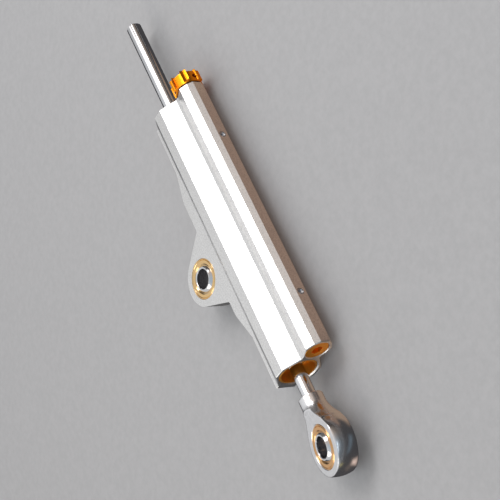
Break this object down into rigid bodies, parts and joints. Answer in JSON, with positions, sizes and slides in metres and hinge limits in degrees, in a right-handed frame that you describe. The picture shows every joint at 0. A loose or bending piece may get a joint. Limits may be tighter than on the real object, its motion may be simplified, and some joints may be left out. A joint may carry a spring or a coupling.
{
  "type": "motorcycle steering damper",
  "caption": "Linear steering damper: faceted silver barrel with a lug and side tube, a through rod with a rod end, and a gold click adjuster knob.",
  "frame": {"origin": "centre of the ball bore in the body's lug, half way through the ball", "axes": "+X along the barrel towards the rod end, +Y from the lug across the rod to the side tube, +Z along the bolt through the lug"},
  "size_m": [0.2767, 0.0674, 0.0228],
  "materials": {
    "body_alloy": "fine bead-blasted, clear anodised",
    "plain_alloy": "turned",
    "gold_anodised": "gold anodised, turned",
    "race_bronze": "turned bronze",
    "ball_steel": "hard-chromed, polished",
    "rod_chrome": "hard-chromed, ground",
    "rod_end_steel": "forged, polished",
    "screw_steel": "machined",
    "spring_steel": "drawn wire",
    "seal_rubber": "matt black",
    "wiper_plastic": "black polyurethane",
    "bush_bronze": "plain bronze",
    "piston_alloy": "hard anodised",
    "band_plastic": "filled low-friction plastic"
  },
  "bodies": {
    "barrel_assembly": {"adjuster_housing": "plain_alloy", "barrel": "body_alloy", "bleed_screws": "screw_steel", "detent_ball": "screw_steel", "detent_spring": "spring_steel", "front_guide_bush": "bush_bronze", "front_rod_seal": "seal_rubber", "front_seal_head": "gold_anodised", "front_wiper": "wiper_plastic", "head_o_rings": "seal_rubber", "housing_o_rings": "seal_rubber", "mount_race": "race_bronze", "rear_guide_bush": "bush_bronze", "rear_rod_seal": "seal_rubber", "rear_seal_head": "gold_anodised", "rear_wiper": "wiper_plastic", "separator_spring": "spring_steel", "side_plug": "gold_anodised", "side_plug_o_ring": "seal_rubber", "valve_seat": "bush_bronze"},
    "rod_assembly": {"piston_rod": "rod_chrome", "piston": "piston_alloy", "piston_rings": "band_plastic", "piston_clips": "spring_steel", "rod_end": "rod_end_steel", "rod_end_race": "race_bronze"},
    "band_slide": {"piston_band": "band_plastic"},
    "mount_ball_turn_body": {"mount_ball": "ball_steel"},
    "rod_end_ball_turn_body": {"rod_end_ball": "ball_steel"},
    "knob_assembly": {"adjuster_knob": "gold_anodised", "adjuster_spindle": "screw_steel", "knob_grub_screw": "screw_steel"},
    "needle": {"adjuster_needle": "screw_steel"},
    "separator": {"separator_piston": "piston_alloy", "separator_o_ring": "seal_rubber"}
  },
  "joints": [
    {"name": "rod_slide", "type": "slide", "parent": "barrel_assembly", "child": "band_slide", "axis": [1, 0, 0], "range_m": [-0.008, 0.06]},
    {"name": "rod_turn", "type": "hinge", "parent": "band_slide", "child": "rod_assembly", "pos_m": [0, 0.0275, 0], "axis": [1, 0, 0], "continuous": true},
    {"name": "mount_ball_turn", "type": "hinge", "parent": "barrel_assembly", "child": "mount_ball_turn_body", "pos_m": [0, 0, 0], "axis": [0, 0, 1], "continuous": true},
    {"name": "rod_end_ball_turn", "type": "hinge", "parent": "rod_assembly", "child": "rod_end_ball_turn_body", "pos_m": [0.1135, 0.0275, 0], "axis": [0, -0.2672, 0.9636], "continuous": true},
    {"name": "knob_turn", "type": "hinge", "parent": "barrel_assembly", "child": "knob_assembly", "pos_m": [-0.085, 0.045, 0], "axis": [1, 0, 0], "range_deg": [-300, 300]},
    {"name": "needle_travel", "type": "slide", "parent": "barrel_assembly", "child": "needle", "axis": [1, 0, 0], "range_m": [-0.000416, 0.000416]},
    {"name": "separator_float", "type": "slide", "parent": "barrel_assembly", "child": "separator", "axis": [1, 0, 0], "range_m": [-0.001, 0.003], "stiffness_N_per_m": 500, "deforming": ["separator_spring"]}
  ],
  "couplings": [
    {"joint": "knob_turn", "follows": "needle_travel", "rad_per_m": 12566}
  ]
}
